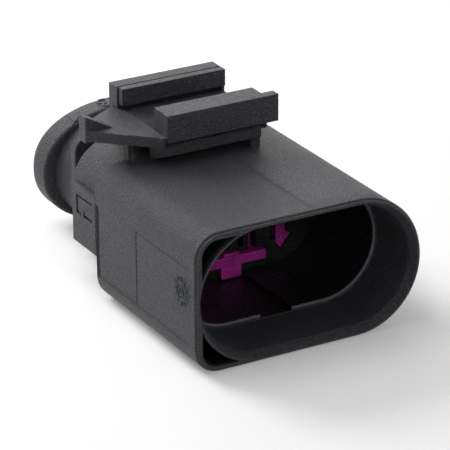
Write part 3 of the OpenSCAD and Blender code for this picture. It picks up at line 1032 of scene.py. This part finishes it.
class CONNECTOR_OT_housing(Operator):
    """Build the housing: its skin, bracket, pockets and cavities as one closed moulding"""

    bl_idname = "connector.housing"
    bl_label = "Housing"

    def execute(self, context):
        g = groups(context)
        rays = spine(g.shroud)
        skin = loft("housing_shell", rays,
                    shroud_stations(rays, g.shroud) + wire_end_stations(rays, g.shroud, g.wire))
        cuts = [corner_pocket(g.shroud, side) for side in (-1, 1)]
        cuts += cavity_cutters(g.shroud, g.wire) + lock_cutters(g.shroud, g.wire, g.lock)
        combine(skin, cuts, "DIFFERENCE")
        adds = bracket_plate(g.bracket) + [bracket_catch(g.bracket)]
        adds += bracket_front_rail(g.bracket) + bracket_rear_rail(g.bracket) + side_pad(g.shroud)
        combine(skin, adds, "UNION")
        soften(skin)
        finish_piece(skin, housing_material(g.finish, g.shroud), "housing_body")
        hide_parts("housing")
        return {"FINISHED"}


class CONNECTOR_OT_marks(Operator):
    """Build the cavity numbers on the collar and the plain dial on the flat side"""

    bl_idname = "connector.marks"
    bl_label = "Numbers and dial"

    def execute(self, context):
        g = groups(context)
        material = bpy.data.materials["housing_plastic"]
        for name, parts in (("cavity_numbers", cavity_numbers(g.wire)), ("date_dial", date_dial(g.shroud))):
            finish_piece(soften(join(name, parts)), material, "housing_body")
        return {"FINISHED"}


class CONNECTOR_OT_lock(Operator):
    """Build the secondary lock with rounded edges"""

    bl_idname = "connector.lock"
    bl_label = "Secondary lock"

    def execute(self, context):
        g = groups(context)
        boxes, back = lock_boxes(g.wire)
        parts = [round_edges(box_piece("lock_box", start, end), g.lock.edge) for start, end in boxes]
        outline = post_outline(g.wire, 0)
        for points in (outline, mirrored(outline)):
            parts.append(round_edges(prism("post", points, LOCK[0][1] + 1.1, back, 1), g.lock.edge))
        lock = combine(parts[0], parts[1:], "UNION")
        lock.name = lock.data.name = "lock_insert"
        soften(lock)
        finish_piece(lock, lock_material(g.finish), "lock_body")
        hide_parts("secondary_lock")
        return {"FINISHED"}


class CONNECTOR_OT_stage(Operator):
    """Build the ground, the lamps and the camera"""

    bl_idname = "connector.stage"
    bl_label = "Ground, lamps and camera"

    def execute(self, context):
        g = groups(context)
        scene = context.scene
        floor_z, far = HOUSING[0][2], 900
        ground = prism("ground", [(-far, -far), (far, -far), (far, far), (-far, far)], floor_z - 4, floor_z, 2)
        ground.data.materials.append(ground_material(g.finish))
        for lamp in LAMPS:
            add_lamp(*lamp)
        set_world(scene)
        add_camera(scene)
        scene.view_settings.view_transform = "Standard"
        return {"FINISHED"}


LAMPS = (("key", (-90, 70, 260), (0, 25, 0), 200, 0.32),
         ("back", (110, 360, 175), (0, 25, 0), 300, 0.35),
         ("back_left", (-120, 320, 240), (0, 25, 0), 160, 1.0),
         ("fill", (-20, -300, 190), (0, 10, 0), 60, 0.2))
"""Each lamp's name, place, aim and size in millimetres, and its power in watts."""


def add_lamp(name, place, aim, size, power):
    """A square soft lamp at a place in millimetres, turned towards its aim; power in watts."""
    data = bpy.data.lights.new(name, "AREA")
    data.size = size / 1000
    data.energy = power
    lamp = bpy.data.objects.new(name, data)
    lamp.location = Vector(place) / 1000
    lamp.rotation_euler = (Vector(aim) - Vector(place)).to_track_quat("-Z", "Y").to_euler()
    bpy.context.scene.collection.objects.link(lamp)


def seen_rays(tree):
    """One for camera, glossy and transmission rays, and nought for the rays that light things."""
    rays = tree.nodes.new("ShaderNodeLightPath")
    total = rays.outputs["Is Camera Ray"]
    for name in ("Is Glossy Ray", "Is Transmission Ray"):
        larger = tree.nodes.new("ShaderNodeMath")
        larger.operation = "MAXIMUM"
        tree.links.new(total, larger.inputs[0])
        tree.links.new(rays.outputs[name], larger.inputs[1])
        total = larger.outputs["Value"]
    return total


def set_world(scene):
    """A pale backdrop, white overhead, to camera and reflections; dim and even to lit surfaces."""
    world = bpy.data.worlds.new("studio")
    world.use_nodes = True
    scene.world = world
    tree = world.node_tree
    backdrop = tree.nodes["Background"]
    split = tree.nodes.new("ShaderNodeSeparateXYZ")
    tree.links.new(tree.nodes.new("ShaderNodeTexCoord").outputs["Generated"], split.inputs["Vector"])
    height = tree.nodes.new("ShaderNodeMapRange")
    tree.links.new(split.outputs["Z"], height.inputs["Value"])
    level = tree.nodes.new("ShaderNodeMapRange")
    tree.links.new(seen_rays(tree), level.inputs["Value"])
    tree.links.new(height.outputs["Result"], level.inputs["To Max"])
    for name, value in (("From Min", 0.0), ("From Max", 0.2), ("To Min", 0.5), ("To Max", 1.0)):
        height.inputs[name].default_value = value
    level.inputs["To Min"].default_value = 0.15
    tree.links.new(level.outputs["Result"], backdrop.inputs["Strength"])
    backdrop.inputs["Color"].default_value = (1, 1, 1, 1)


CAMERA_PLACE, CAMERA_AIM = (-172.0, -283.3, 150.4), (-7.92, 7.90, 6.45)
CAMERA_ROLL, CAMERA_LENS = -0.4, 232
"""The camera's place and aim in millimetres, its roll in degrees and its lens."""


def add_camera(scene):
    """A long lens that looks at the part from the mouth's left, a little above."""
    place, aim = Vector(CAMERA_PLACE), Vector(CAMERA_AIM)
    data = bpy.data.cameras.new("camera")
    data.lens = CAMERA_LENS
    data.clip_start = 0.01
    camera = bpy.data.objects.new("camera", data)
    camera.location = place / 1000
    turn = (aim - place).to_track_quat("-Z", "Y") @ Quaternion((0, 0, 1), math.radians(CAMERA_ROLL))
    camera.rotation_euler = turn.to_euler()
    scene.collection.objects.link(camera)
    scene.camera = camera


class CONNECTOR_PT_panel(Panel):
    """The connector's parts in the sidebar"""

    bl_idname = "CONNECTOR_PT_panel"
    bl_label = "Sealed connector"
    bl_space_type = "VIEW_3D"
    bl_region_type = "UI"
    bl_category = "Connector"

    def draw(self, context):
        for operator in OPERATORS:
            self.layout.operator(operator.bl_idname)
        for attribute, group in SIZE_GROUPS.items():
            box = self.layout.box()
            box.label(text=group.__doc__)
            for name in group.__annotations__:
                box.prop(getattr(context.scene, attribute), name)


OPERATORS = (CONNECTOR_OT_housing, CONNECTOR_OT_marks, CONNECTOR_OT_lock, CONNECTOR_OT_stage)
SIZE_GROUPS = {"connector_shroud": ShroudSizes, "connector_wire_end": WireEndSizes,
               "connector_bracket": BracketSizes, "connector_lock": LockSizes, "connector_finish": Finishes}


def register():
    """Adds the classes, and the size groups to the scene."""
    for group in (*SIZE_GROUPS.values(), *OPERATORS, CONNECTOR_PT_panel):
        bpy.utils.register_class(group)
    for attribute, group in SIZE_GROUPS.items():
        setattr(bpy.types.Scene, attribute, PointerProperty(type=group))


def unregister():
    """Takes away what register adds."""
    for attribute in SIZE_GROUPS:
        delattr(bpy.types.Scene, attribute)
    for group in reversed((*SIZE_GROUPS.values(), *OPERATORS, CONNECTOR_PT_panel)):
        bpy.utils.unregister_class(group)


def main():
    """Registers the add-on and builds every piece."""
    register()
    bpy.ops.connector.housing()
    bpy.ops.connector.marks()
    bpy.ops.connector.lock()
    bpy.ops.connector.stage()


if __name__ == "__main__":
    main()
